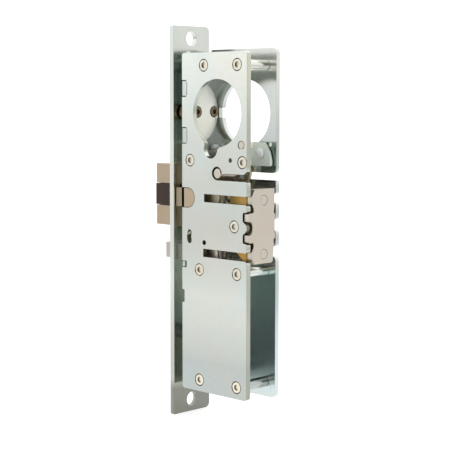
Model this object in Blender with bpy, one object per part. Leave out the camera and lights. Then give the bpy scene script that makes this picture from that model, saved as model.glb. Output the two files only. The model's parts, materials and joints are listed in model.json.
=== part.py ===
"""A narrow-stile mortise latch lock: faceplate, two side plates, a sprung latch bolt and a deadlocking plunger.

Sizes are in millimetres and become metres when a mesh is made. +Y runs from the faceplate into the door,
+X points to the cover plate and +Z is up. The origin is on the faceplate's front, level with the cylinder.
"""

import math

import bmesh
import bpy
from mathutils import Matrix, Vector
from mathutils.geometry import tessellate_polygon

MM = 0.001
GAP = 0.3  # between pieces that touch

# Driving dimensions
FACE_WIDTH = 22.2
FACE_HEIGHT = 174.6
FACE_THICK = 2.6
FACE_MIDDLE = -48.9
FACE_CORNER = 2.2
FACE_HOLES = 163.5
FACE_HOLE_R = 3.25

CASE_WIDTH = 20.2
PLATE = 2.2
CASE_FRONT = 7.0
CASE_REAR = 46.8
COVER_TOP = 26.2
COVER_BOTTOM = -123.1
BACK_TOP = 28.0
BACK_BOTTOM = -124.5
WEB = 2.7

BACKSET = 28.6
CYLINDER_R = 14.68

LATCH_Z = -37.0
LATCH_HEIGHT = 27.8
LATCH_THICK = 11.0
LATCH_THROW = 15.2
PLUNGER_Z = -62.3
PLUNGER_HEIGHT = 6.9
PLUNGER_OUT = 9.6
LEVER_PIVOT = (28.7, -25.9)
DEADLOCK_PIVOT = (20.9, -56.5)

# Places across the lock's width
OUTER = CASE_WIDTH / 2
INNER = OUTER - PLATE
WEB_REAR = CASE_FRONT + WEB
LATCH_SIDE = LATCH_THICK / 2
LEVER_X = (-7.4, -5.9)
YOKE_RAIL = (3.9, 5.2)
DEADLOCK_X = (6.45, 7.55)
FRAME_X = (6.4, 7.5)
RIVET_HEAD_X = (5.35, 6.15)

# Cover screws, (y, z). The first six stand on full spacers and the last three in short nuts.
SPACERS = [(20.5, 20.6), (40.7, 20.6), (17.8, -68.7), (40.7, -68.7), (17.8, -118.0), (40.6, -118.0)]
NUTS = {(12.0, -20.7): 3.5, (43.8, -20.7): 6.7, (39.1, -48.3): -3.0}
SPACER_R = 2.3

# The cover's rear edge: slots open to the rear, (low z, high z), and the block's keyed ears
LEVER_SLOT = (-28.9, -25.8)
LEVER_SLOT_R = 3.0
UPPER_SLOT = (-38.7, -35.1)
LOWER_SLOT = (-62.8, -59.2)
SLOT_FRONT = 20.8
EAR_NOTCHES = ((-46.0, -41.9), (-55.2, -51.3))
EAR_NOTCH_Y = 44.2
GUIDE_SLOT = (-41.75, -32.75)
GUIDE_SLOT_END = 15.0
LOW_TAB = (-68.1, -65.8)
TAB_NOTCHES = ((-13.6, -6.2), (7.0, 14.4))

# Rear block
BLOCK_Y = (44.4, 47.2)
BLOCK_Z = (-64.2, -32.1)
BLOCK_SIDE = 7.3
BLOCK_RIVETS = {"upper": -36.9, "lower": -60.2}


# Small fixings
FRONT_SCREWS = (21.0, -100.0)
STOP_PIN = (43.2, -13.4)
GUARD_RIVET = (39.4, -17.1)
COVER_HOLE = (36.8, -20.0)
CLAMP_SCREW_X = (-5.1, 5.1)
CLAMP_Z = 0.4
CLAMP_HALF_WIDTH = 7.5
CLAMP_HALF_HEIGHT = 12.6
CLAMP_Y = (10.0, 11.8)

# Latch, plunger and levers
TONGUE_HEIGHT = 9.6
TONGUE_PIN = (2.2, 1.2)
NOSE_SIDE = 1.2
YOKE_NOSE = (27.0, -58.5)
YOKE_REAR = (26.9, 28.4)
YOKE_RIVET = (23.5, LATCH_Z)
PLUNGER_RIVET = (21.7, -61.3)
DEADLOCK_STUD = (11.6, -56.75)
LEVER_STUD = (21.3, -17.0)
REST_STUD = (11.5, -15.4)
LEVER_TIP = (23.6, -58.5)


# ---- Helpers -------------------------------------------------------------------------------------

def clear_scene():
    for obj in list(bpy.data.objects):
        bpy.data.objects.remove(obj, do_unlink=True)


def make_material(name, colour, metallic, roughness):
    material = bpy.data.materials.new(name)
    material.use_nodes = True
    shader = material.node_tree.nodes["Principled BSDF"]
    shader.inputs["Base Color"].default_value = (*colour, 1.0)
    shader.inputs["Metallic"].default_value = metallic
    shader.inputs["Roughness"].default_value = roughness
    material.diffuse_color = (*colour, 1.0)
    return material


def mesh_object(name, points, faces, material, origin=(0.0, 0.0, 0.0)):
    """An object whose mesh holds the points, in millimetres, measured from its origin."""
    bm = bmesh.new()
    base = Vector(origin)
    verts = [bm.verts.new((Vector(point) - base) * MM) for point in points]
    for face in faces:
        bm.faces.new([verts[index] for index in face])
    bmesh.ops.recalc_face_normals(bm, faces=bm.faces)
    mesh = bpy.data.meshes.new(name)
    bm.to_mesh(mesh)
    bm.free()
    mesh.materials.append(material)
    mesh.shade_smooth()
    mesh.set_sharp_from_angle(angle=math.radians(35))
    obj = bpy.data.objects.new(name, mesh)
    obj.location = base * MM
    bpy.context.collection.objects.link(obj)
    return obj


def arc(centre, radius, start, end, steps):
    """Points on a circle from one angle to another, in degrees, both ends included."""
    turns = [math.radians(start + (end - start) * step / steps) for step in range(steps + 1)]
    return [(centre[0] + radius * math.cos(a), centre[1] + radius * math.sin(a)) for a in turns]


def circle(centre, radius, sides=24):
    return arc(centre, radius, 0, 360, sides)[:-1]


def rounded(corners, steps=4):
    """An outline from (u, v, radius) corners, with each corner replaced by its fillet."""
    outline = []
    for index, (u, v, radius) in enumerate(corners):
        if radius == 0:
            outline.append((u, v))
            continue
        here = Vector((u, v))
        before = (Vector(corners[index - 1][:2]) - here).normalized()
        after = (Vector(corners[(index + 1) % len(corners)][:2]) - here).normalized()
        half = before.angle(after) / 2
        centre = here + (before + after).normalized() * (radius / math.sin(half))
        first = here + before * (radius / math.tan(half)) - centre
        last = here + after * (radius / math.tan(half)) - centre
        turn = first.angle_signed(last)
        for step in range(steps + 1):
            spoke = first.copy()
            spoke.rotate(Matrix.Rotation(-turn * step / steps, 2))
            outline.append(tuple(centre + spoke))
    return outline


def box_outline(low, high, radius=0.0):
    return rounded([(low[0], low[1], radius), (high[0], low[1], radius),
                    (high[0], high[1], radius), (low[0], high[1], radius)])


PLANES = {
    "YZ": lambda u, v, depth: (depth, u, v),
    "XZ": lambda u, v, depth: (u, depth, v),
    "XY": lambda u, v, depth: (u, v, depth),
}


def prism(name, plane, outline, span, material, holes=(), origin=(0.0, 0.0, 0.0), bores=()):
    """A flat plate: an outline and its holes in one plane, from span[0] to span[1] along the third axis.

    A bore is a centre and its (depth, radius) steps, which run from span[0] to span[1].
    """
    place = PLANES[plane]
    walls = [[(span[0], list(loop)), (span[1], list(loop))] for loop in [outline, *holes]]
    walls += [[(depth, circle(centre, radius)) for depth, radius in steps] for centre, steps in bores]
    points = []
    faces = []
    ends = ([], [])
    for wall in walls:
        starts = []
        for depth, loop in wall:
            starts.append(len(points))
            points += [place(u, v, depth) for u, v in loop]
        count = len(wall[0][1])
        for one, two in zip(starts, starts[1:]):
            for step in range(count):
                after = (step + 1) % count
                faces.append((one + step, one + after, two + after, two + step))
        ends[0].append((starts[0], wall[0][1]))
        ends[1].append((starts[-1], wall[-1][1]))
    for end in ends:
        numbers = [start + step for start, loop in end for step in range(len(loop))]
        triangles = tessellate_polygon([[Vector((u, v, 0.0)) for u, v in loop] for _, loop in end])
        faces += [tuple(numbers[corner] for corner in triangle) for triangle in triangles]
    return mesh_object(name, points, faces, material, origin)


AXES = {
    "X": lambda along, a, b: (along, a, b),
    "Y": lambda along, a, b: (b, along, a),
    "Z": lambda along, a, b: (a, b, along),
}


def hexagon(across):
    """Radius of a hexagonal socket at an angle, from its size across the corners."""
    flat = across / 2 * math.cos(math.pi / 6)
    return lambda a: flat / math.cos((a + math.pi / 6) % (math.pi / 3) - math.pi / 6)


def turned(name, axis, centre, profile, material, sides=24, origin=None):
    """A lathe shape: (along, radius) pairs round an axis; a radius may be a function of the angle."""
    place = AXES[axis]
    points = []
    rings = []
    for along, radius in profile:
        if radius == 0:
            rings.append([len(points)] * sides)
            points.append(place(along, centre[0], centre[1]))
            continue
        rings.append(list(range(len(points), len(points) + sides)))
        for side in range(sides):
            a = 2 * math.pi * side / sides
            r = radius(a) if callable(radius) else radius
            points.append(place(along, centre[0] + r * math.cos(a), centre[1] + r * math.sin(a)))
    faces = []
    for one, two in zip(rings, rings[1:]):
        for side in range(sides):
            after = (side + 1) % sides
            corners = [one[side], one[after], two[after], two[side]]
            faces.append(tuple(dict.fromkeys(corners)))
    return mesh_object(name, points, faces, material, origin or (0.0, 0.0, 0.0))


def wire(name, path, radius, material, sides=6):
    """A round wire along a path of points, closed at both ends."""
    points = []
    path = [Vector(point) for point in path]
    across = None
    for index, here in enumerate(path):
        ahead = path[min(index + 1, len(path) - 1)]
        behind = path[max(index - 1, 0)]
        along = (ahead - behind).normalized()
        across = across or along.orthogonal()
        across = (across - along * across.dot(along)).normalized()
        other = along.cross(across)
        for side in range(sides):
            a = 2 * math.pi * side / sides
            points.append(here + (across * math.cos(a) + other * math.sin(a)) * radius)
    faces = [tuple(range(sides)), tuple(range(len(points) - sides, len(points)))]
    for ring in range(len(path) - 1):
        for side in range(sides):
            a = ring * sides + side
            b = ring * sides + (side + 1) % sides
            faces.append((a, b, b + sides, a + sides))
    return mesh_object(name, points, faces, material)


def coil(axis, centre, radius, span, turns, per_turn=12, start=0.0):
    """Points of a helix round an axis."""
    steps = round(turns * per_turn)
    place = AXES[axis]
    path = []
    for step in range(steps + 1):
        a = start + 2 * math.pi * step / per_turn
        along = span[0] + (span[1] - span[0]) * step / steps
        path.append(place(along, centre[0] + radius * math.cos(a), centre[1] + radius * math.sin(a)))
    return path


def boolean(target, tool, operation):
    """Keeps a hidden tool object and joins or cuts the target with it."""
    tool.name = target.name + "_tool"
    tool.hide_render = True
    tool.display_type = "WIRE"
    modifier = target.modifiers.new(operation.title(), "BOOLEAN")
    modifier.operation = operation
    modifier.solver = "EXACT"
    modifier.object = tool


def cut(target, *tools):
    for tool in tools:
        boolean(target, tool, "DIFFERENCE")


def join(target, *tools):
    for tool in tools:
        boolean(target, tool, "UNION")


def empty(name, place):
    obj = bpy.data.objects.new(name, None)
    obj.location = Vector(place) * MM
    bpy.context.collection.objects.link(obj)
    return obj


def parent_to(handle, *objects):
    """Hangs objects on an empty without moving them."""
    bpy.context.view_layer.update()
    for obj in objects:
        obj.parent = handle
        obj.matrix_parent_inverse = handle.matrix_world.inverted()


# ---- Case ----------------------------------------------------------------------------------------

def countersunk(centre, stops, radii):
    """A bore: narrow from stops[0] to stops[1], then a cone to stops[2], then wide to stops[3]."""
    narrow, wide = radii
    return (centre, list(zip(stops, (narrow, narrow, wide, wide))))


def make_faceplate(material):
    half = FACE_WIDTH / 2
    low = FACE_MIDDLE - FACE_HEIGHT / 2
    high = FACE_MIDDLE + FACE_HEIGHT / 2
    ends = [(0.0, FACE_MIDDLE + FACE_HOLES / 2), (0.0, FACE_MIDDLE - FACE_HOLES / 2)]
    latch = LATCH_HEIGHT / 2 + 0.45
    plunger = PLUNGER_HEIGHT / 2 + 0.4
    holes = [box_outline((-LATCH_SIDE - 0.45, LATCH_Z - latch), (LATCH_SIDE + 0.45, LATCH_Z + latch), 0.6),
             box_outline((-5.4, PLUNGER_Z - plunger), (5.4, PLUNGER_Z + plunger), 0.6)]
    holes += [circle(end, FACE_HOLE_R) for end in ends]
    bores = [countersunk((0.0, z), (FACE_THICK, 1.8, 0.4, 0.0), (1.8, 3.6)) for z in FRONT_SCREWS]
    outline = rounded([(half, low, 0.4), (half, high, 0.4), (-half, high, FACE_CORNER), (-half, low, FACE_CORNER)])
    prism("faceplate", "XZ", outline, (FACE_THICK, 0.0), material, holes, bores=bores)


def guide_slot_points(low, high):
    """The round-ended slot, open to the front, that a latch guide sits in, from its low to its high side."""
    radius = (high - low) / 2
    middle = (high + low) / 2
    return [(CASE_FRONT, low)] + arc((GUIDE_SLOT_END - radius, middle), radius, -90, 90, 12) + [(CASE_FRONT, high)]


def lever_slot_points(rear, rear_radius):
    """The lever pin's slot: in from the rear along its top, round the pin and out along its bottom."""
    low, high = LEVER_SLOT
    pivot_y, pivot_z = LEVER_PIVOT
    top = rounded([(rear, COVER_TOP, 0), (rear, high, rear_radius), (SLOT_FRONT, high, 0)])[1:-1]
    bottom = rounded([(SLOT_FRONT, low, 0), (rear, low, 0.9), (rear, low - 5.0, 0)])[1:-1]
    return top + arc((pivot_y, pivot_z), LEVER_SLOT_R, 2, 270, 18) + bottom


def kidney_slot(centre=(17.4, -54.4), radius=6.0, half=1.35, start=163.0, end=197.0):
    """The bean-shaped window in front of the deadlock lever's stud."""
    outer = arc(centre, radius + half, start, end, 6)
    inner = arc(centre, radius - half, end, start, 6)
    low = arc(arc(centre, radius, end, end, 1)[0], half, end, end + 180, 6)[1:-1]
    high = arc(arc(centre, radius, start, start, 1)[0], half, start + 180, start + 360, 6)[1:-1]
    return outer + low + inner + high


def cover_outline():
    rear = CASE_REAR
    outline = lever_slot_points(rear, 2.8)
    finger = [(rear, LEVER_SLOT[0] - 1.5, 0), (rear, UPPER_SLOT[1], 0.9), (SLOT_FRONT, UPPER_SLOT[1], 0.3),
              (SLOT_FRONT, UPPER_SLOT[0], 0.3), (rear, UPPER_SLOT[0], 1.2),
              (rear, EAR_NOTCHES[0][1], 1.2), (EAR_NOTCH_Y, EAR_NOTCHES[0][1], 0.7),
              (EAR_NOTCH_Y, EAR_NOTCHES[0][0], 0.4)]
    outline += rounded(finger + [(rear, EAR_NOTCHES[0][0], 0)])[1:-1]
    bulge_r = (EAR_NOTCHES[0][0] - EAR_NOTCHES[1][1]) / 2
    bulge = (rear - 0.4 - bulge_r, EAR_NOTCHES[0][0] - bulge_r)
    outline += arc(bulge, bulge_r, 80, -80, 10)
    tooth = [(rear, EAR_NOTCHES[1][1], 0), (EAR_NOTCH_Y, EAR_NOTCHES[1][1], 0.4),
             (EAR_NOTCH_Y, EAR_NOTCHES[1][0], 0.7), (rear, EAR_NOTCHES[1][0], 1.2), (rear, LOWER_SLOT[1], 1.2),
             (SLOT_FRONT - 0.6, LOWER_SLOT[1], 0.3), (SLOT_FRONT - 0.6, LOWER_SLOT[0], 0.3),
             (rear, LOWER_SLOT[0], 1.6), (rear, COVER_BOTTOM, 1.6), (CASE_FRONT, COVER_BOTTOM, 1.2),
             (CASE_FRONT, -84.2, 0), (CASE_FRONT + 1.4, -84.2, 0.5), (CASE_FRONT + 1.4, -78.4, 0.5),
             (CASE_FRONT, -78.4, 0), (CASE_FRONT, -68.5, 0), (CASE_FRONT + 2.8, -68.5, 0.4),
             (CASE_FRONT + 2.8, -65.4, 0.4), (CASE_FRONT, -65.4, 0), (CASE_FRONT, GUIDE_SLOT[0], 0)]
    outline += rounded(tooth)[1:]
    outline += guide_slot_points(*GUIDE_SLOT)[1:]
    front = []
    for low, high in TAB_NOTCHES:
        front += [(CASE_FRONT, low, 0), (CASE_FRONT + 3.2, low, 1.2), (CASE_FRONT + 3.2, high, 1.2),
                  (CASE_FRONT, high, 0)]
    front += [(CASE_FRONT, COVER_TOP, 1.2), (rear, COVER_TOP, 1.6), (rear, LEVER_SLOT[1], 0)]
    outline += rounded(front)[:-1]
    return outline


def cylinder_hole(steps=56):
    """The mortise cylinder's hole with the cam's round notch at its lower front, as one outline."""
    notch, notch_r = (24.8, -15.5), 4.1
    centre = (BACKSET, 0.0)
    ring = [p for p in circle(centre, CYLINDER_R, steps) if math.dist(p, notch) > notch_r + 0.1]
    lobe = [p for p in circle(notch, notch_r, 28) if math.dist(p, centre) > CYLINDER_R + 0.1]
    turn = lambda p: math.atan2(p[1] - centre[1], p[0] - centre[0]) % (2 * math.pi)
    lobe.sort(key=turn)
    first = next((i for i, p in enumerate(ring) if turn(p) > turn(lobe[0])), len(ring))
    return ring[:first] + lobe + ring[first:]


def screw_places():
    return SPACERS + list(NUTS)


def make_cover(material):
    holes = [cylinder_hole(), kidney_slot(), circle(COVER_HOLE, 1.05, 12),
             circle(DEADLOCK_PIVOT, 1.15, 12), circle(STOP_PIN, 1.95, 20)]
    stops = (INNER, OUTER - 1.6, OUTER - 0.4, OUTER)
    prism("cover_plate", "YZ", cover_outline(), (INNER, OUTER), material, holes,
          bores=[countersunk(place, stops, (1.45, 2.8)) for place in screw_places()])


def case_side_outline():
    """The fixed side plate: the cover's outline, a little taller, with two broad teeth at the rear."""
    rear = CASE_REAR
    outline = lever_slot_points(rear, 2.0)
    outline += rounded([(rear, -30.0, 0), (rear, -34.8, 1.0), (SLOT_FRONT, -34.8, 0.3), (SLOT_FRONT, -38.6, 0.3),
                        (rear, -38.6, 1.0), (rear, -45.9, 1.0), (EAR_NOTCH_Y, -45.9, 0.6),
                        (EAR_NOTCH_Y, -50.6, 0.6), (rear, -50.6, 1.0), (rear, -57.6, 1.0),
                        (SLOT_FRONT, -57.6, 0.3), (SLOT_FRONT, -62.0, 0.3), (rear, -62.0, 2.0),
                        (rear, BACK_BOTTOM, 2.5), (CASE_FRONT, BACK_BOTTOM, 1.2),
                        (CASE_FRONT, GUIDE_SLOT[0], 0)])[1:]
    outline += guide_slot_points(*GUIDE_SLOT)[1:]
    outline += rounded([(CASE_FRONT, GUIDE_SLOT[1] + 1.0, 0), (CASE_FRONT, BACK_TOP, 1.2), (rear, BACK_TOP, 2.5),
                        (rear, LEVER_SLOT[1], 0)])[:-1]
    return outline


def web_halves(material):
    """The case's front web above and below the latch, with the tabs that key into the cover."""
    side = INNER - GAP
    inside = -INNER - 1.1
    window = LATCH_SIDE + 0.4
    latch = LATCH_HEIGHT / 2 + 0.4
    guide = (GUIDE_SLOT[1] - GUIDE_SLOT[0]) / 2 + GAP
    upper = [(inside, BACK_TOP - 1.0), (side, BACK_TOP - 1.0)]
    for low, high in reversed(TAB_NOTCHES):
        upper += [(side, high - 0.5), (OUTER - 0.2, high - 0.5), (OUTER - 0.2, low + 0.5), (side, low + 0.5)]
    upper += [(side, LATCH_Z + guide), (window, LATCH_Z + guide), (window, LATCH_Z + latch),
              (-window, LATCH_Z + latch), (-window, LATCH_Z + guide), (inside, LATCH_Z + guide)]
    lower = [(inside, LATCH_Z - guide), (-window, LATCH_Z - guide), (-window, LATCH_Z - latch),
             (window, LATCH_Z - latch), (window, LATCH_Z - guide), (side, LATCH_Z - guide),
             (side, BACK_BOTTOM + 1.5), (inside, BACK_BOTTOM + 1.5)]
    span = (CASE_FRONT + 0.05, WEB_REAR)
    top_holes = [circle((x, CLAMP_Z), 2.6) for x in CLAMP_SCREW_X] + [circle((0.0, FRONT_SCREWS[0]), 1.8, 16)]
    plunger = PLUNGER_HEIGHT / 2 + 0.3
    low_holes = [box_outline((-5.3, PLUNGER_Z - plunger), (5.3, PLUNGER_Z + plunger)),
                 circle((0.0, FRONT_SCREWS[1]), 1.8, 16)]
    return (prism("web", "XZ", upper, span, material, top_holes),
            prism("web", "XZ", lower, span, material, low_holes),
            prism("tab", "XZ", box_outline((side - 0.8, LOW_TAB[0]), (OUTER - 0.2, LOW_TAB[1]), 0.3),
                  (CASE_FRONT + 0.15, CASE_FRONT + 1.4), material))


def make_case_body(material):
    holes = [cylinder_hole()]
    holes += [circle(place, 1.8, 16) for place in SPACERS]
    holes += [circle(DEADLOCK_PIVOT, 1.05, 12), circle(STOP_PIN, 1.05, 12), circle(GUARD_RIVET, 1.3, 12)]
    case = prism("case_body", "YZ", case_side_outline(), (-OUTER, -INNER), material, holes)
    join(case, *web_halves(material))
    notch = prism("notch", "YZ", box_outline((12.2, -2.2), (16.0, 2.2)), (-OUTER - 1, -INNER + 1), material)
    cut(case, notch)
    return case


def make_spacers(metal):
    tenon, bore = 1.5, 1.35
    for number, (y, z) in enumerate(SPACERS, 1):
        profile = [(-OUTER + 0.2, 0), (-OUTER + 0.2, tenon), (-INNER + GAP, tenon), (-INNER + GAP, SPACER_R),
                   (INNER - GAP, SPACER_R), (INNER - GAP, bore), (2.0, bore), (2.0, 0)]
        turned(f"side_spacer_{number}", "X", (y, z), profile, metal, 20)
    for number, ((y, z), end) in enumerate(NUTS.items(), 1):
        profile = [(end, 0), (end, SPACER_R), (INNER - GAP, SPACER_R), (INNER - GAP, bore),
                   (max(end + 0.8, 2.6), bore), (max(end + 0.8, 2.6), 0)]
        turned(f"cover_nut_{number}", "X", (y, z), profile, metal, 20)


def make_cover_screws(metal):
    top = OUTER - 0.05
    socket = hexagon(2.9)
    ends = [3.4] * len(SPACERS) + [max(end + 1.2, 4.9) for end in NUTS.values()]
    for number, ((y, z), end) in enumerate(zip(screw_places(), ends), 1):
        profile = [(end, 0), (end, 1.05), (OUTER - 1.6, 1.05), (OUTER - 0.5, 2.4), (top - 0.1, 2.4),
                   (top, 2.3), (top, socket), (top - 1.1, socket), (top - 1.1, 0)]
        turned(f"cover_screw_{number}", "X", (y, z), profile, metal)


def make_front_fixings(plate_metal, screw_metal):
    for name, z in zip(("upper", "lower"), FRONT_SCREWS):
        low, high = FACE_THICK + GAP, CASE_FRONT - GAP
        prism(f"front_spacer_{name}", "XZ", circle((0.0, z), 3.2), (low, high), plate_metal,
              [circle((0.0, z), 1.8, 16)])
        socket = hexagon(2.4)
        profile = [(1.1, 0), (1.1, socket), (0.05, socket), (0.05, 3.3), (0.3, 3.3), (1.8, 1.45),
                   (WEB_REAR - 0.2, 1.45), (WEB_REAR - 0.2, 0)]
        turned(f"front_screw_{name}", "Y", (z, 0.0), profile, screw_metal)


# ---- Cylinder clamp ------------------------------------------------------------------------------

def make_clamp(plate_metal, dark_metal):
    radius = (CLAMP_HALF_HEIGHT ** 2 + CLAMP_HALF_WIDTH ** 2) / (2 * CLAMP_HALF_WIDTH)
    offset = radius - CLAMP_HALF_WIDTH
    reach = math.degrees(math.asin(CLAMP_HALF_HEIGHT / radius))
    right = arc((-offset, CLAMP_Z), radius, -reach, reach, 18)
    left = arc((offset, CLAMP_Z), radius, 180 - reach, 180 + reach, 18)
    prism("cylinder_clamp", "XZ", right[:-1] + left[:-1], CLAMP_Y, plate_metal,
          [circle((x, CLAMP_Z), 2.6) for x in CLAMP_SCREW_X])
    socket = hexagon(2.5)
    for name, x in zip(("far", "near"), CLAMP_SCREW_X):
        profile = [(3.5, 0), (3.5, 3.5), (5.3, 3.5), (5.3, 2.3), (12.0, 2.3), (12.0, socket), (10.8, socket),
                   (10.8, 0)]
        turned(f"clamp_screw_{name}", "Y", (CLAMP_Z, x), profile, dark_metal)


# ---- Latch ---------------------------------------------------------------------------------------

def make_latch(steel):
    tip = -LATCH_THROW
    outline = rounded([(LATCH_SIDE, tip, 0.7), (LATCH_SIDE, 8.2, 0), (-LATCH_SIDE, 8.2, 0),
                       (-LATCH_SIDE, -1.5, 0.8), (NOSE_SIDE, tip, 1.0)])
    half = LATCH_HEIGHT / 2
    bolt = prism("latch_bolt", "XY", outline, (LATCH_Z - half, LATCH_Z + half), steel)
    slot = TONGUE_HEIGHT / 2 + GAP
    cut(bolt, prism("slot", "XY", box_outline((-8.0, tip - 1.0), (8.0, 4.8)), (LATCH_Z - slot, LATCH_Z + slot), steel),
        turned("bore", "Z", TONGUE_PIN, [(-46.6, 0), (-46.6, 1.5), (-27.4, 1.5), (-27.4, 0)], steel, 12))
    join(bolt, turned("stem", "Y", (LATCH_Z, 0.0), [(7.0, 0), (7.0, 1.6), (25.5, 1.6), (26.0, 1.1), (26.0, 0)],
                      steel, 16))
    return bolt


def make_tongue(dark):
    tip = -LATCH_THROW - 0.3
    near = LATCH_SIDE + 0.15
    outline = rounded([(near, tip, 0.8), (near, 3.9, 1.0), (-LATCH_SIDE + 0.3, 3.9, 1.5),
                       (-LATCH_SIDE, -1.6, 1.0), (NOSE_SIDE - 0.7, tip, 1.2)])
    half = TONGUE_HEIGHT / 2
    return prism("friction_tongue", "XY", outline, (LATCH_Z - half, LATCH_Z + half), dark,
                 [circle(TONGUE_PIN, 1.5, 16)], (TONGUE_PIN[0], TONGUE_PIN[1], LATCH_Z))


def make_tongue_pin(steel):
    return turned("tongue_pin", "Z", TONGUE_PIN,
                  [(-46.0, 0), (-46.0, 1.2), (-28.0, 1.2), (-28.0, 0)], steel, 12)


def make_yoke(steel):
    """The stamped yoke behind the latch: two rails, and on the far one the arm that the lever pushes."""
    top, bottom = LATCH_Z + 3.9, LATCH_Z - 3.9
    web = prism("latch_yoke", "XZ", box_outline((-YOKE_RAIL[1], bottom), (YOKE_RAIL[1], top)), (8.5, 9.7), steel,
                [circle((0.0, LATCH_Z), 1.9, 16)])
    rail = rounded([(9.0, bottom, 0), (YOKE_REAR[0], bottom, 1.0), (YOKE_REAR[0], top, 1.0), (9.0, top, 0)])
    near = prism("rail", "YZ", rail, YOKE_RAIL, steel, [circle(YOKE_RIVET, 1.5, 16)])
    arm = rounded([(9.0, bottom, 0), (22.0, bottom, 1.0), (24.6, -55.0, 2.0), (25.0, -60.3, 1.2),
                   (YOKE_REAR[1], -60.3, 1.5), (YOKE_REAR[1], top, 1.0), (9.0, top, 0)])
    far = prism("rail", "YZ", arm, (-YOKE_RAIL[1], -YOKE_RAIL[0]), steel)
    nose = turned("nose", "X", YOKE_NOSE, [(LEVER_X[0], 0), (LEVER_X[0], 1.4), (-4.5, 1.4), (-4.5, 0)], steel, 16)
    join(web, near, far, nose)
    return web


def make_rivet(name, place, head_r, metal):
    """A rivet through a near-side cheek, with its flat head towards the cover."""
    profile = [(YOKE_RAIL[0] - 0.2, 0), (YOKE_RAIL[0] - 0.2, 1.2), (RIVET_HEAD_X[0], 1.2),
               (RIVET_HEAD_X[0], head_r), (RIVET_HEAD_X[1] - 0.2, head_r), (RIVET_HEAD_X[1], head_r - 0.2),
               (RIVET_HEAD_X[1], 0)]
    return turned(name, "X", place, profile, metal)


def make_guides(steel):
    """The two shoes that sit in the side plates' front slots and keep the latch central."""
    low, high = GUIDE_SLOT[0] + GAP, GUIDE_SLOT[1] - GAP
    radius = (high - low) / 2
    end = GUIDE_SLOT_END - GAP - radius
    middle = (low + high) / 2
    for name, sign in (("near", 1), ("far", -1)):
        outline = [(3.0, low)] + arc((end, middle), radius, -90, 90, 14) + [(3.0, high)]
        span = sorted((sign * (LATCH_SIDE + GAP), sign * (OUTER - 0.05)))
        guide = prism(f"latch_guide_{name}", "YZ", outline, span, steel)
        groove = sorted((sign * 6.9, sign * (OUTER + 1.0)))
        cut(guide, prism("groove", "YZ", box_outline((6.7, low - 1), (8.1, high + 1)), groove, steel))


# ---- Plunger and deadlock lever ------------------------------------------------------------------

def make_plunger(steel):
    half = PLUNGER_HEIGHT / 2
    outline = rounded([(5.0, -PLUNGER_OUT, 0.8), (5.0, 12.5, 0), (-5.0, 12.5, 0), (-5.0, -PLUNGER_OUT, 3.0)])
    plunger = prism("deadlatch_plunger", "XY", outline, (PLUNGER_Z - half, PLUNGER_Z + half), steel)
    stem = turned("stem", "Y", (PLUNGER_Z, 0.0), [(11.0, 0), (11.0, 1.4), (23.6, 1.4), (24.0, 1.0), (24.0, 0)],
                  steel, 16)
    cheek = prism("cheek", "YZ", rounded([(11.0, -65.0, 0), (26.0, -65.0, 1.5), (26.0, -59.3, 1.5), (11.0, -59.3, 0)]),
                  YOKE_RAIL, steel, [circle(PLUNGER_RIVET, 1.5, 16)])
    join(plunger, stem, cheek)
    return plunger


def make_deadlock_lever(steel):
    y, z = DEADLOCK_PIVOT
    arm = bar(DEADLOCK_PIVOT, DEADLOCK_STUD, 2.9, 1.3)
    lever = prism("deadlock_lever", "YZ", arm, DEADLOCK_X, steel, [circle(DEADLOCK_PIVOT, 1.15, 16)], (0.0, y, z))
    join(lever, turned("stud", "X", DEADLOCK_STUD,
                       [(6.9, 0), (6.9, 0.85), (INNER - 0.05, 0.85), (INNER - 0.05, 0)], steel, 12))
    return lever


# ---- Cylinder lever ------------------------------------------------------------------------------

def bar(start, end, start_r, end_r, steps=8):
    """The outline of a bar with round ends of two radii."""
    turn = math.degrees(math.atan2(end[1] - start[1], end[0] - start[0]))
    lean = math.degrees(math.acos((start_r - end_r) / math.dist(start, end)))
    return (arc(start, start_r, turn + lean, turn + 360 - lean, steps * 2)
            + arc(end, end_r, turn - lean, turn + lean, steps))


def make_cylinder_lever(steel):
    y, z = LEVER_PIVOT
    lever = prism("cylinder_lever", "YZ", bar(LEVER_PIVOT, LEVER_TIP, 4.3, 1.6), LEVER_X, steel, (), (0.0, y, z))
    upper = prism("upper", "YZ", bar(LEVER_PIVOT, LEVER_STUD, 4.5, 2.1), LEVER_X, steel)
    stud = turned("stud", "X", LEVER_STUD, [(LEVER_X[0] + 0.4, 0), (LEVER_X[0] + 0.4, 1.15), (-1.9, 1.15),
                                            (-1.6, 0.9), (-1.6, 0)], steel, 16)
    join(lever, upper, stud)
    cut(lever, turned("hole", "X", LEVER_PIVOT, [(-9.0, 0), (-9.0, 2.45), (-4.0, 2.45), (-4.0, 0)], steel))
    return lever


def make_lever_guard(plate_metal, steel):
    outline = rounded([(33.0, -22.8, 0.8), (33.0, -14.8, 0.8), (34.8, -12.5, 0.5), (41.4, -12.5, 0.5),
                       (44.2, -16.6, 3.0), (45.3, -20.6, 3.0), (45.0, -22.8, 0.8)])
    prism("lever_guard", "YZ", outline, LEVER_X, plate_metal, [circle(GUARD_RIVET, 1.3, 12)])
    dome = [(-5.6 + 0.75 * math.sin(a), 2.3 * math.cos(a)) for a in (0.0, 0.4, 0.8, 1.15)]
    turned("guard_rivet", "X", GUARD_RIVET,
           [(-OUTER + 0.1, 0), (-OUTER + 0.1, 1.0), (-5.6, 1.0)] + dome + [(-4.85, 0)], steel, 20)


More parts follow.
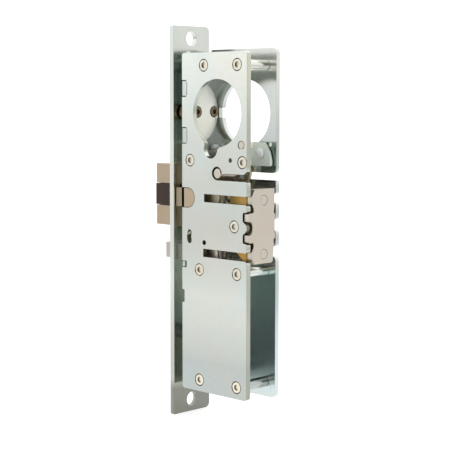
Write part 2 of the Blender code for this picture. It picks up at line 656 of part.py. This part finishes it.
def make_pins(steel):
    y, z = LEVER_PIVOT
    turned("lever_pivot_pin", "X", (y, z),
           [(-OUTER + 0.3, 0), (-OUTER + 0.3, 2.15), (OUTER - 0.3, 2.15), (OUTER - 0.1, 1.95), (OUTER - 0.1, 0)],
           steel)
    turned("lever_rest_stud", "X", REST_STUD,
           [(-INNER + GAP, 0), (-INNER + GAP, 1.4), (-5.0, 1.4), (-4.6, 1.2), (-4.4, 0.7), (-4.35, 0)], steel, 20)
    turned("lever_stop_pin", "X", STOP_PIN,
           [(4.5, 0), (4.5, 1.65), (OUTER - 0.2, 1.65), (OUTER - 0.05, 1.5), (OUTER - 0.05, 0)], steel, 20)
    turned("deadlock_pivot_pin", "X", DEADLOCK_PIVOT,
           [(6.3, 0), (6.3, 0.85), (OUTER - 1.0, 0.85), (OUTER - 1.0, 0)], steel, 12)


# ---- Springs, frame and rear block ---------------------------------------------------------------

def make_springs(metal):
    wire("latch_spring", coil("Y", (LATCH_Z, 0.0), 2.5, (10.6, 41.7), 11), 0.4, metal)
    wire("plunger_spring", coil("Y", (PLUNGER_Z, 0.0), 2.1, (13.3, 41.7), 11), 0.35, metal)
    y, z = LEVER_PIVOT
    turns = coil("X", (y, z), 3.0, (-4.9, -1.6), 3.5, 14, math.pi)
    first = Vector(turns[0]) + Vector((0.0, 0.3, 6.5))
    last = Vector(turns[-1]) + Vector((0.0, 0.6, 5.5))
    wire("lever_spring", [first] + turns + [last], 0.4, metal)


def make_spring_frame(chromate):
    """The yellow spring seat riveted to the rear block: a web and one side wing beside the cover."""
    web = prism("spring_frame", "XZ", box_outline((-3.3, -63.8), (FRAME_X[1], -32.6), 0.5),
                (42.7, 44.1), chromate, [circle((0.0, z), 1.7, 16) for z in BLOCK_RIVETS.values()])
    wing = rounded([(43.8, -63.7, 0), (43.8, -32.7, 0.8), (34.2, -32.7, 1.2), (34.2, -43.0, 1.2), (42.2, -44.0, 1.0),
                    (42.2, -55.0, 1.0), (37.4, -56.5, 1.0), (37.0, -59.0, 0.6), (42.9, -63.4, 0.6)])
    join(web, prism("wing", "YZ", wing, FRAME_X, chromate))
    return web


def make_rear_block(steel):
    low, high = BLOCK_Z
    top_ear, low_ear = [(notch[0] + GAP, notch[1] - GAP) for notch in EAR_NOTCHES]
    waist = BLOCK_SIDE - 0.9
    recess = (12.3, (EAR_NOTCHES[0][0] + EAR_NOTCHES[1][1]) / 2)
    near = [(5.7, high, 0.5), (BLOCK_SIDE, high - 2.6, 0.8), (BLOCK_SIDE, -38.6, 0.8), (waist, -40.2, 0.6),
            (waist, top_ear[1], 0.5), (9.4, top_ear[1], 0.7), (9.4, top_ear[0], 0)]
    near += [(x, z, 0) for x, z in arc(recess, 5.25, 149, 211, 10)]
    near += [(9.4, low_ear[1], 0), (9.4, low_ear[0], 0.7), (waist, low_ear[0], 0.5), (waist, -57.0, 0.6),
             (BLOCK_SIDE, -58.6, 0.8), (BLOCK_SIDE, low + 2.0, 0.8), (5.9, low, 0.5)]
    back = [(-5.6, low, 1.2), (-6.3, -56.5, 0.8), (-6.0, low_ear[0] + 0.5, 0.5),
            (-7.15, low_ear[0] + 1.6, 0.8), (-7.15, low_ear[1] - 0.2, 0.8), (-6.5, low_ear[1] + 0.9, 0.6),
            (-6.5, top_ear[0] - 0.9, 0.6), (-7.15, top_ear[0] + 0.3, 0.8), (-7.15, top_ear[1] - 1.5, 0.8),
            (-6.1, top_ear[1] - 0.4, 0.5), (-6.6, -40.0, 1.0), (-6.6, high, 0.6)]
    block = prism("rear_block", "XZ", rounded(near + back), BLOCK_Y, steel,
                  [circle((0.0, z), 2.25) for z in BLOCK_RIVETS.values()])
    cut(block, prism("step", "XY", box_outline((INNER - 0.15, 43.0), (12.0, EAR_NOTCH_Y + GAP + 0.15)), (-56.0, -41.0),
                     steel))
    for name, z in BLOCK_RIVETS.items():
        turned(f"block_rivet_{name}", "Y", (z, 0.0),
               [(42.8, 0), (42.8, 1.4), (BLOCK_Y[0] + 0.1, 1.4), (BLOCK_Y[0] + 0.1, 2.15),
                (BLOCK_Y[1] - 0.1, 2.15), (BLOCK_Y[1], 2.0), (BLOCK_Y[1], 0)], steel)


def main():
    clear_scene()
    zinc = make_material("zinc_plate", (0.72, 0.75, 0.76), 1.0, 0.28)
    steel = make_material("tan_steel", (0.62, 0.55, 0.48), 1.0, 0.32)
    screw = make_material("screw_steel", (0.78, 0.72, 0.62), 1.0, 0.35)
    dark = make_material("dark_bronze", (0.08, 0.055, 0.05), 0.6, 0.45)
    chromate = make_material("yellow_chromate", (0.62, 0.42, 0.13), 1.0, 0.3)
    spring = make_material("spring_steel", (0.5, 0.52, 0.55), 1.0, 0.3)

    make_faceplate(zinc)
    make_case_body(zinc)
    make_cover(zinc)
    make_spacers(zinc)
    make_cover_screws(screw)
    make_front_fixings(zinc, screw)
    make_clamp(zinc, dark)
    make_guides(steel)
    make_lever_guard(zinc, steel)
    make_pins(steel)
    make_springs(spring)
    make_spring_frame(chromate)
    make_rear_block(steel)

    latch = empty("latch_slide", (0.0, 0.0, LATCH_Z))
    bolt = make_latch(steel)
    yoke = make_yoke(steel)
    tongue = make_tongue(dark)
    pin = make_tongue_pin(steel)
    rivet = make_rivet("yoke_rivet", YOKE_RIVET, 2.8, steel)
    parent_to(latch, bolt, yoke, tongue, pin, rivet)

    plunger = empty("plunger_slide", (0.0, 0.0, PLUNGER_Z))
    parent_to(plunger, make_plunger(steel), make_rivet("plunger_rivet", PLUNGER_RIVET, 3.4, steel))
    make_deadlock_lever(dark)
    make_cylinder_lever(steel)


main()
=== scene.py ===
"""The looks of the mortise lock: plated and tinted metals, softened edges and a white studio.

Places and sizes are in millimetres unless a comment says otherwise. The camera looks at the cover plate
and the open back of the case, with the faceplate on its left.
"""

import json
import math

import bmesh
import bpy
from mathutils import Matrix, Vector


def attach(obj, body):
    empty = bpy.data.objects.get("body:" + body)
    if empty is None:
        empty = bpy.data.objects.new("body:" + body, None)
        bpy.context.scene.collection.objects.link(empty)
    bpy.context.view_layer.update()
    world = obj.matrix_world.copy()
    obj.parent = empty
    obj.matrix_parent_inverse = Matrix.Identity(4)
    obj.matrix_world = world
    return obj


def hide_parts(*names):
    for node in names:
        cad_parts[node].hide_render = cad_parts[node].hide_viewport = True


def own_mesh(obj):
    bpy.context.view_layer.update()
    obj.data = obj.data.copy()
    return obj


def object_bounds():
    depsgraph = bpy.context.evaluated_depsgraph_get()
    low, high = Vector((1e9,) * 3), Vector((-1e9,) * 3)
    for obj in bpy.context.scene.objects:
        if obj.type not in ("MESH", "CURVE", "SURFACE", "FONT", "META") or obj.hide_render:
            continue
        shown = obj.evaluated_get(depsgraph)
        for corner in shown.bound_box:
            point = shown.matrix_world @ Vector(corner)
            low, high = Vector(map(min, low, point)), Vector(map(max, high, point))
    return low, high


MM = 0.001

WELD = 0.000002  # metres: vertices closer than this are one
FLAT = math.radians(0.4)  # faces that meet at less than this are one flat face
SHARP = math.radians(38)  # edges that turn more than this are shaded as edges and rounded

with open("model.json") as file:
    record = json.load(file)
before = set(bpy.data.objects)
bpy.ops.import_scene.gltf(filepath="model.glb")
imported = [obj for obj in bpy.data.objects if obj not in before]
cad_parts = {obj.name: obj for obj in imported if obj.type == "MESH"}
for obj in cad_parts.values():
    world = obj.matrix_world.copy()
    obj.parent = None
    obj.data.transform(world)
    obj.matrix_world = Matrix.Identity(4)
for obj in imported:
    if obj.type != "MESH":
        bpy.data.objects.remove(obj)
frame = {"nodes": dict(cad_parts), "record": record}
CAD_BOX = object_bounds()


# ---- Node helpers --------------------------------------------------------------------------------

class Nodes:
    """A short way to build a node tree."""

    def __init__(self, tree):
        self.tree = tree
        tree.nodes.clear()

    def add(self, kind, settings=None, **inputs):
        node = self.tree.nodes.new("ShaderNode" + kind)
        for name, value in (settings or {}).items():
            setattr(node, name, value)
        for name, value in inputs.items():
            self.put(node.inputs[name.replace("_", " ")], value)
        return node

    def put(self, socket, value):
        if isinstance(value, bpy.types.NodeSocket):
            self.tree.links.new(value, socket)
        elif isinstance(value, bpy.types.Node):
            self.tree.links.new(value.outputs[0], socket)
        elif isinstance(value, tuple) and len(value) == 3 and socket.type == "RGBA":
            socket.default_value = (*value, 1.0)
        else:
            socket.default_value = value

    def noise(self, vector, scale, detail=3.0, roughness=0.55):
        node = self.add("TexNoise", Vector=vector, Scale=scale, Detail=detail, Roughness=roughness)
        return node.outputs[0]

    def stretched(self, vector, scale):
        return self.add("Mapping", Vector=vector, Scale=scale).outputs[0]

    def span(self, value, low, high, start=0.0, end=1.0):
        """Maps low..high to start..end."""
        node = self.add("MapRange", Value=value)
        for name, number in zip(("From Min", "From Max", "To Min", "To Max"), (low, high, start, end)):
            node.inputs[name].default_value = number
        return node.outputs[0]

    def mix(self, factor, one, two, blend="MIX"):
        node = self.add("Mix", {"data_type": "RGBA", "blend_type": blend})
        self.put(node.inputs["Factor"], factor)
        self.put(node.inputs["A"], one)
        self.put(node.inputs["B"], two)
        return node.outputs["Result"]

    def dot(self, vector, other):
        node = self.add("VectorMath", {"operation": "DOT_PRODUCT"})
        self.put(node.inputs[0], vector)
        self.put(node.inputs[1], other)
        return node.outputs["Value"]

    def math(self, operation, one, two=0.0):
        node = self.add("Math", {"operation": operation})
        self.put(node.inputs[0], one)
        self.put(node.inputs[1], two)
        return node.outputs[0]


def new_material(name):
    material = bpy.data.materials.new(name)
    material.use_nodes = True
    nodes = Nodes(material.node_tree)
    shader = nodes.add("BsdfPrincipled")
    output = nodes.add("OutputMaterial")
    material.node_tree.links.new(shader.outputs[0], output.inputs[0])
    place = nodes.add("TexCoord").outputs["Object"]
    return material, nodes, shader, place


GRAIN_SCALE = 2600.0
HAIR_SCALE = 900.0
HAIR_STRETCH = (0.25, 1.0, 9.0)
HAIR_GLOSS = 0.05  # how much rougher a scratch is than the metal round it
RELIEF = 0.03 * MM
RIM = 0.14 * MM  # the radius that sharp edges are shaded with


def shade(tint, amount):
    return tuple(max(0.0, min(1.0, value * amount)) for value in tint)


def metal(name, base, cool, warm, roughness, grain=(1.0, 1.0, 1.0), cloud=60.0, bump=0.02, metallic=1.0,
          zones=()):
    """A plated metal: cloudy tint, uneven gloss, fine grain, a few hairline scratches and rounded rims.

    grain stretches the fine grain: large numbers across it and small ones along it.
    cloud is the scale of the cloudy patches.
    A zone (box, soft, colour) multiplies the tint inside a box, and fades out over soft; the zones paint
    shade and light into the tint.
    """
    material, nodes, shader, place = new_material(name)
    patches = nodes.noise(place, cloud, 4.0, 0.6)
    drift = nodes.noise(place, cloud * 0.35, 2.0)
    tint = nodes.mix(nodes.span(patches, 0.35, 0.7), base, cool)
    tint = nodes.mix(nodes.span(drift, 0.52, 0.75, 0.0, 0.8), tint, warm)
    lines = nodes.noise(nodes.stretched(place, grain), GRAIN_SCALE, 3.0, 0.7)
    hair = nodes.noise(nodes.stretched(place, HAIR_STRETCH), HAIR_SCALE, 1.0)
    hair = nodes.span(hair, 0.70, 0.76)
    tint = nodes.mix(nodes.span(lines, 0.3, 0.7, 0.0, 0.25), tint, shade(base, 0.8))
    axes = nodes.add("SeparateXYZ", Vector=place)
    # painted shade and light: each zone multiplies the tint inside its box
    for box, soft, colour in zones:
        inside = None
        for axis, (low, high) in box.items():
            start = nodes.span(axes.outputs[axis], (low - soft) * MM, low * MM)
            end = nodes.span(axes.outputs[axis], high * MM, (high + soft) * MM, 1.0, 0.0)
            between = nodes.math("MULTIPLY", start, end)
            inside = between if inside is None else nodes.math("MULTIPLY", inside, between)
        tint = nodes.mix(inside, tint, nodes.mix(1.0, tint, colour, "MULTIPLY"))
    shader.inputs["Metallic"].default_value = metallic
    nodes.put(shader.inputs["Base Color"], tint)
    gloss = nodes.span(patches, 0.3, 0.75, roughness * 0.8, roughness * 1.25)
    gloss = nodes.math("ADD", gloss, nodes.span(lines, 0.35, 0.7, 0.0, roughness * 0.35))
    gloss = nodes.math("ADD", gloss, nodes.math("MULTIPLY", hair, HAIR_GLOSS))
    nodes.put(shader.inputs["Roughness"], gloss)
    height = nodes.math("ADD", nodes.math("MULTIPLY", lines, 0.6), nodes.math("MULTIPLY", hair, -0.3))
    relief = nodes.add("Bump", Height=height, Strength=bump, Distance=RELIEF)
    nodes.put(relief.inputs["Normal"], nodes.add("Bevel", {"samples": 4}, Radius=RIM))
    nodes.put(shader.inputs["Normal"], relief.outputs[0])
    return material


# painted shade for the walls inside holes, slots and notches
WALL_SHADE = (0.13, 0.11, 0.08)
COVER_WALLS = (7.9, 9.94)  # the thickness of the cover plate, seen only inside its holes and notches
COVER_ZONES = [  # painted shade: the lower part darkened where it mirrors the bright floor, the rear rim darker, then the walls of the slots, notches and cylinder hole darker
    ({"Z": (-300.0, -110.0)}, 30.0, (0.63, 0.64, 0.65)),
    ({"Y": (46.5, 60.0)}, 0.2, (0.75, 0.74, 0.69)),
    ({"X": COVER_WALLS, "Y": (20.0, 46.3), "Z": (-66.0, -51.2)}, 0.03, WALL_SHADE),
    ({"X": COVER_WALLS, "Y": (20.0, 46.3), "Z": (-46.0, -18.5)}, 0.03, WALL_SHADE),
    ({"X": COVER_WALLS, "Y": (40.0, 60.0), "Z": (-51.1, -46.1)}, 0.03, (0.34, 0.32, 0.25)),
    ({"X": COVER_WALLS, "Y": (7.2, 9.6)}, 0.03, WALL_SHADE),
    ({"X": COVER_WALLS, "Y": (9.6, 15.5), "Z": (-43.0, -31.0)}, 0.03, WALL_SHADE),
    ({"X": COVER_WALLS, "Y": (10.0, 43.5), "Z": (-17.0, 16.0)}, 0.03, (0.72, 0.72, 0.66)),
]
FACE_ZONES = [  # painted shade on the back's lower tab, the lower front and the back beside the case, and a painted highlight on the near edge
    ({"Y": (1.9, 2.7), "Z": (-300.0, -124.5)}, 5.0, (0.50, 0.49, 0.48)),
    ({"Y": (-1.0, 1.9), "Z": (-300.0, -110.0)}, 40.0, (0.72, 0.71, 0.66)),
    ({"X": (-12.0, 8.6), "Y": (2.3, 2.7), "Z": (-12.0, 25.0)}, 1.0, (0.60, 0.66, 0.64)),
    ({"X": (-12.0, 8.6), "Y": (2.3, 2.7), "Z": (-57.0, -14.0)}, 1.0, (0.66, 0.68, 0.62)),
    ({"X": (10.95, 12.0), "Z": (-75.0, -15.0)}, 25.0, (1.30, 1.28, 1.24)),
]
CASE_ZONES = [  # the inside of the far wall: painted shade above the rear block, and a painted bluish reflection tint below it
    ({"X": (-8.4, -7.0), "Y": (38.0, 46.5), "Z": (-29.5, -12.6)}, 0.6, (0.30, 0.38, 0.33)),
    ({"X": (-8.4, -7.0), "Z": (-122.0, -70.0)}, 3.0, (0.92, 1.02, 1.08)),
]
SOCKET_SHADE_ZONE = ({"X": (9.42, 9.95)}, 0.03, (0.14, 0.10, 0.07))  # painted shade on the walls of the cover screws' sockets
GUIDE_ZONES = [  # painted shade: the groove across the latch guide black, and its front half darker
    ({"Y": (6.68, 8.12)}, 0.02, (0.03, 0.03, 0.03)),
    ({"Y": (0.0, 6.7)}, 0.1, (0.72, 0.74, 0.68)),
]
BRASS_ZONES = [({"Y": (20.0, 35.5)}, 6.0, (0.42, 0.42, 0.40))]  # the shaded front of the spring frame


def make_materials():
    return {
        "zinc": metal(
            "zinc_plate_finish", (0.755, 0.785, 0.72), (0.71, 0.775, 0.755), (0.80, 0.775, 0.70), 0.17,
            grain=(1.0, 0.12, 1.0), bump=0.04, zones=COVER_ZONES),
        "zinc_far": metal(
            "zinc_case_finish", (0.68, 0.705, 0.67), (0.65, 0.70, 0.69), (0.71, 0.70, 0.65), 0.16,
            grain=(1.0, 1.0, 0.12), bump=0.012, metallic=0.9, zones=CASE_ZONES),
        "guard": metal(
            "guard_finish", (0.84, 0.88, 0.78), (0.80, 0.88, 0.82), (0.86, 0.84, 0.74), 0.40, metallic=0.2),
        "clamp": metal(
            "clamp_finish", (0.84, 0.845, 0.77), (0.81, 0.84, 0.79), (0.86, 0.83, 0.73), 0.34,
            grain=(1.0, 1.0, 0.12), bump=0.03),
        "stud": metal(
            "stud_finish", (0.93, 0.96, 0.96), (0.91, 0.96, 0.97), (0.95, 0.95, 0.92), 0.3,
            bump=0.03, metallic=0.1),
        "face": metal(
            "faceplate_finish", (0.67, 0.695, 0.655), (0.64, 0.695, 0.68), (0.70, 0.69, 0.635), 0.16,
            grain=(1.0, 1.0, 0.05), bump=0.04, zones=FACE_ZONES),
        "tan": metal(
            "latch_finish", (0.475, 0.37, 0.26), (0.46, 0.38, 0.29), (0.52, 0.38, 0.24), 0.34,
            grain=(0.3, 1.0, 1.0), cloud=120.0, bump=0.08),
        "guide": metal(
            "guide_finish", (0.51, 0.405, 0.29), (0.49, 0.41, 0.32), (0.54, 0.41, 0.27), 0.34,
            grain=(0.3, 1.0, 1.0), cloud=120.0, bump=0.08, zones=GUIDE_ZONES),
        "block": metal(
            "block_finish", (0.66, 0.60, 0.515), (0.63, 0.60, 0.54), (0.70, 0.60, 0.47), 0.34,
            grain=(0.3, 1.0, 1.0), cloud=90.0, bump=0.08),
        "inner": metal(
            "inner_steel_finish", (0.72, 0.64, 0.42), (0.69, 0.65, 0.47), (0.76, 0.62, 0.36), 0.42,
            cloud=120.0, bump=0.08, metallic=0.7),
        "plunger": metal(
            "plunger_finish", (0.52, 0.48, 0.45), (0.50, 0.49, 0.47), (0.55, 0.47, 0.41), 0.36,
            grain=(0.3, 1.0, 1.0), cloud=120.0, bump=0.08),
        "steel": metal(
            "steel_pin_finish", (0.69, 0.62, 0.52), (0.67, 0.62, 0.54), (0.72, 0.61, 0.47), 0.24,
            cloud=200.0, bump=0.05),
        "screw": metal(
            "screw_finish", (0.82, 0.76, 0.62), (0.80, 0.77, 0.67), (0.86, 0.75, 0.55), 0.30,
            cloud=260.0, bump=0.08, zones=[SOCKET_SHADE_ZONE]),
        "brass": metal(
            "yellow_chromate_finish", (0.46, 0.28, 0.07), (0.44, 0.31, 0.10), (0.50, 0.28, 0.07), 0.25,
            cloud=180.0, bump=0.05, zones=BRASS_ZONES),
        "spring": metal(
            "spring_finish", (0.60, 0.60, 0.58), (0.56, 0.59, 0.60), (0.64, 0.59, 0.52), 0.24,
            cloud=200.0, bump=0.03),
        # a darker copy of the spring metal: painted shade for the spring inside the plunger
        "spring_painted_shade": metal(
            "plunger_spring_painted_shade", (0.24, 0.19, 0.12), (0.22, 0.19, 0.14), (0.28, 0.20, 0.11), 0.28,
            cloud=200.0, bump=0.03),
        "olive": metal(
            "clamp_screw_finish", (0.20, 0.15, 0.09), (0.18, 0.15, 0.11), (0.26, 0.18, 0.09), 0.30,
            cloud=180.0, bump=0.08),
        "olive_dark": metal(
            "deadlock_finish", (0.19, 0.21, 0.16), (0.18, 0.21, 0.18), (0.22, 0.21, 0.14), 0.65,
            cloud=180.0, bump=0.08, metallic=0.35),
        "dark": metal(
            "dark_bronze_finish", (0.052, 0.035, 0.028), (0.046, 0.036, 0.032), (0.07, 0.046, 0.034), 0.38,
            cloud=150.0, bump=0.12, metallic=0.75),
    }


# ---- Pieces --------------------------------------------------------------------------------------

def copy_of(node):
    """The CAD node's mesh, with its split corners joined and its flat faces made whole."""
    bm = bmesh.new()
    bm.from_mesh(frame["nodes"][node].data)
    bmesh.ops.remove_doubles(bm, verts=bm.verts, dist=WELD)
    bmesh.ops.dissolve_limit(bm, angle_limit=FLAT, verts=bm.verts, edges=bm.edges)
    bmesh.ops.recalc_face_normals(bm, faces=bm.faces)
    weight = bm.edges.layers.float.new("bevel_weight_edge")
    for edge in bm.edges:  # marked before the flat faces are cut up, so that no cut is taken for an edge
        if len(edge.link_faces) == 2 and edge.calc_face_angle() > SHARP:
            edge[weight] = 1.0
            edge.smooth = False
    bmesh.ops.connect_verts_concave(bm, faces=bm.faces)
    return bm


def raise_socket_floor(bm):
    """Makes a cover screw's socket shallower."""
    for vertex in bm.verts:
        if SOCKET_FLOOR[0] * MM < vertex.co.x < SOCKET_FLOOR[1] * MM:
            vertex.co.x = RAISED_FLOOR * MM


def add_piece(name, bm, material, body, nodes):
    mesh = bpy.data.meshes.new(name)
    for face in bm.faces:
        face.smooth = True
    bm.to_mesh(mesh)
    bm.free()
    mesh.materials.append(material)
    obj = bpy.data.objects.new(name, mesh)
    bpy.context.collection.objects.link(obj)
    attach(obj, body)
    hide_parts(*nodes)
    return obj


def soften(obj, width):
    """Rounds every sharp edge, as stamping and plating leave it."""
    modifier = obj.modifiers.new("Edges", "BEVEL")
    modifier.width = width * MM
    modifier.segments = 2
    modifier.limit_method = "WEIGHT"
    modifier.use_clamp_overlap = False
    modifier.miter_outer = "MITER_ARC"
    modifier.face_strength_mode = "FSTR_ALL"
    normals = obj.modifiers.new("Flats", "WEIGHTED_NORMAL")  # keeps the flat faces flat up to their rims
    normals.mode = "FACE_AREA"
    normals.weight = 100
    normals.use_face_influence = True


FINISHES = {
    "face": ["faceplate"],
    "zinc_far": ["case_body"],
    "clamp": ["cylinder_clamp"],
    "stud": ["lever_rest_stud", "guard_rivet"],
    "zinc": ["cover_plate", "front_spacer_", "side_spacer_", "cover_nut_"],
    "guard": ["lever_guard"],
    "guide": ["latch_guide_"],
    "block": ["rear_block", "block_rivet_"],
    "inner": ["latch_yoke", "cylinder_lever", "yoke_rivet"],
    "plunger": ["deadlatch_plunger"],
    "tan": ["latch_bolt"],
    "steel": ["lever_pivot_pin", "lever_stop_pin", "tongue_pin"],
    "screw": ["cover_screw_", "front_screw_", "plunger_rivet"],
    "olive": ["clamp_screw_"],
    "olive_dark": ["deadlock_lever"],
    "dark": ["friction_tongue", "deadlock_pivot_pin"],
    "brass": ["spring_frame"],
    "spring": ["latch_spring", "lever_spring"],
    "spring_painted_shade": ["plunger_spring"],
}
BEVELS = {  # nought leaves the mesh as it is, and its rims are rounded in the shading alone
    "case_body": 0.0,
    "cover_plate": 0.0,
    "rear_block": 0.0,
    "cylinder_clamp": 0.0,
    "lever_spring": 0.0,
    "spring_frame": 0.05,
    "lever_guard": 0.05,
    "latch_yoke": 0.05,
    "cover_screw_": 0.05,
    "faceplate": 0.08,
    "latch_bolt": 0.08,
    "friction_tongue": 0.08,
    "deadlatch_plunger": 0.08,
    "latch_guide_": 0.08,
    "block_rivet_": 0.15,
}
USUAL_BEVEL = 0.12
SOCKET_FLOOR = (8.9, 9.0)  # the floor of a cover screw's socket lies between these along X in the CAD
RAISED_FLOOR = 9.35


def finish_of(node):
    return next(finish for finish, starts in FINISHES.items() if node.startswith(tuple(starts)))


def bevel_of(node):
    return next((width for start, width in BEVELS.items() if node.startswith(start)), USUAL_BEVEL)


SPRINGS = {  # springs that are given their own mesh and no bevel; the lever's return spring is not here, because it stays as it is
    "latch_spring": lambda piece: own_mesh(piece),
    "plunger_spring": lambda piece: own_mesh(piece),
}


def make_pieces(materials):
    bodies = frame["record"]["behaviour"]["bodies"]
    for body, nodes in bodies.items():
        for node in nodes:
            finish = finish_of(node)
            mesh = copy_of(node)
            if node.startswith("cover_screw_"):
                raise_socket_floor(mesh)
            piece = add_piece(node + "_piece", mesh, materials[finish], body, [node])
            if node in SPRINGS:
                SPRINGS[node](piece)
            elif bevel_of(node):
                soften(piece, bevel_of(node))


# ---- Studio --------------------------------------------------------------------------------------

# Level directions, as seen from the camera.
TO_CAMERA = (0.7078, 0.6996, 0.0)
FROM_CAMERA = (-0.7078, -0.6996, 0.0)
TO_LEFT = (0.703, -0.711, 0.0)
TO_RIGHT = (-0.703, 0.711, 0.0)

WHITE = (1.0, 1.0, 1.0)
LEVEL = 1.3
LEFT_SIDE = WHITE
RIGHT_SIDE = (0.86, 0.85, 0.82)
OVERHEAD = WHITE
LOW_DOWN = (0.6, 0.6, 0.6)
BEHIND_LOCK = WHITE
BEHIND_CAMERA = (0.10, 0.11, 0.10)
# Where one tone gives way to the next, by how far the way points to the right, up or to the camera.
SIDE_EDGE = (-0.3, 0.3)
LOW_EDGE = (-0.25, 0.1)
OVERHEAD_EDGE = (0.25, 0.75)
BACK_EDGE = (-0.75, -0.45)
CAMERA_EDGE = (0.62, 0.9)

FLOOR_SIZE = 6.0  # metres, from the middle to a side
FLOOR_GAP = 0.0002  # metres under the lock
FLOOR_WHITE = ((0.33, 0.33, 0.33), (0.35, 0.35, 0.35))
FLOOR_GREY = (0.42, 0.42, 0.42)
FLOOR_GLOW = (0.78, 0.2)  # in the white part and in the grey part
FLOOR_SPREAD = (0.19, 1.0)  # sideways over onward distance, where the white ends and the grey begins
CAMERA_REACH = 0.587  # metres along the level from the frame's origin to the camera
NEAREST = 0.05  # metres

CAMERA_PLACE = (407.85, 426.85, 6.94)
CAMERA_BACK = (0.7078, 0.6996, 0.0975)  # the way from the lock back to the camera
CAMERA_ROLL = math.radians(0.059)
CAMERA_LENS = 104.46
SENSOR = 36.0
CLIP_START = 0.01  # metres


def make_floor():
    """A white sweep behind the lock, greyer to its left and right, where the polished plates mirror it."""
    low = CAD_BOX[0][2]
    bm = bmesh.new()
    bmesh.ops.create_grid(bm, x_segments=8, y_segments=8, size=FLOOR_SIZE)
    mesh = bpy.data.meshes.new("floor")
    bm.to_mesh(mesh)
    bm.free()
    material, nodes, shader, place = new_material("floor_paint")
    away = nodes.dot(place, FROM_CAMERA)
    away = nodes.math("ADD", away, CAMERA_REACH)
    across = nodes.math("ABSOLUTE", nodes.dot(place, TO_LEFT))
    spread = nodes.math("DIVIDE", across, nodes.math("MAXIMUM", away, NEAREST))
    grey = nodes.span(spread, *FLOOR_SPREAD)
    fleck = nodes.noise(place, 40.0, 2.0)
    white = nodes.mix(fleck, *FLOOR_WHITE)
    nodes.put(shader.inputs["Base Color"], nodes.mix(grey, white, FLOOR_GREY))
    shader.inputs["Roughness"].default_value = 0.8
    shader.inputs["Emission Color"].default_value = (1.0, 1.0, 1.0, 1.0)
    nodes.put(shader.inputs["Emission Strength"], nodes.span(grey, 0.0, 1.0, *FLOOR_GLOW))
    mesh.materials.append(material)
    floor = bpy.data.objects.new("floor", mesh)
    floor.location = (0.0, 0.0, low - FLOOR_GAP)
    bpy.context.collection.objects.link(floor)


def make_lights():
    """A tent of soft light: white behind, bright at the sides and overhead, and dark round the camera."""
    world = bpy.data.worlds.new("studio")
    bpy.context.scene.world = world
    world.use_nodes = True
    nodes = Nodes(world.node_tree)
    way = nodes.add("TexCoord").outputs["Generated"]
    height = nodes.dot(way, (0.0, 0.0, 1.0))
    near = nodes.dot(way, TO_CAMERA)
    right = nodes.dot(way, TO_RIGHT)
    side = nodes.mix(nodes.span(right, *SIDE_EDGE), LEFT_SIDE, RIGHT_SIDE)
    tone = nodes.mix(nodes.span(height, *LOW_EDGE), LOW_DOWN, WHITE)
    side = nodes.mix(1.0, side, tone, "MULTIPLY")
    side = nodes.mix(nodes.span(height, *OVERHEAD_EDGE), side, OVERHEAD)
    wall = nodes.mix(nodes.span(near, *BACK_EDGE), BEHIND_LOCK, side)
    wall = nodes.mix(nodes.span(near, *CAMERA_EDGE), wall, BEHIND_CAMERA)
    background = nodes.add("Background", Color=wall, Strength=LEVEL)
    output = nodes.add("OutputWorld")
    world.node_tree.links.new(background.outputs[0], output.inputs[0])


def make_camera():
    """The camera stands behind and to the cover's side of the lock, a little above its middle."""
    back = Vector(CAMERA_BACK).normalized()
    right = (-back).cross(Vector((0.0, 0.0, 1.0))).normalized()
    up = right.cross(-back)
    turn = Matrix((right, up, back)).transposed()
    turn = turn @ Matrix.Rotation(CAMERA_ROLL, 3, "Z")
    camera = bpy.data.cameras.new("camera")
    camera.sensor_width = SENSOR
    camera.lens = CAMERA_LENS
    camera.clip_start = CLIP_START
    obj = bpy.data.objects.new("camera", camera)
    obj.matrix_world = Matrix.Translation(Vector(CAMERA_PLACE) * MM) @ turn.to_4x4()
    bpy.context.collection.objects.link(obj)
    bpy.context.scene.camera = obj


bpy.context.scene.view_settings.view_transform = "Standard"
bpy.context.scene.cycles.max_bounces = 16
bpy.context.scene.cycles.glossy_bounces = 12
make_pieces(make_materials())
make_floor()
make_lights()
make_camera()
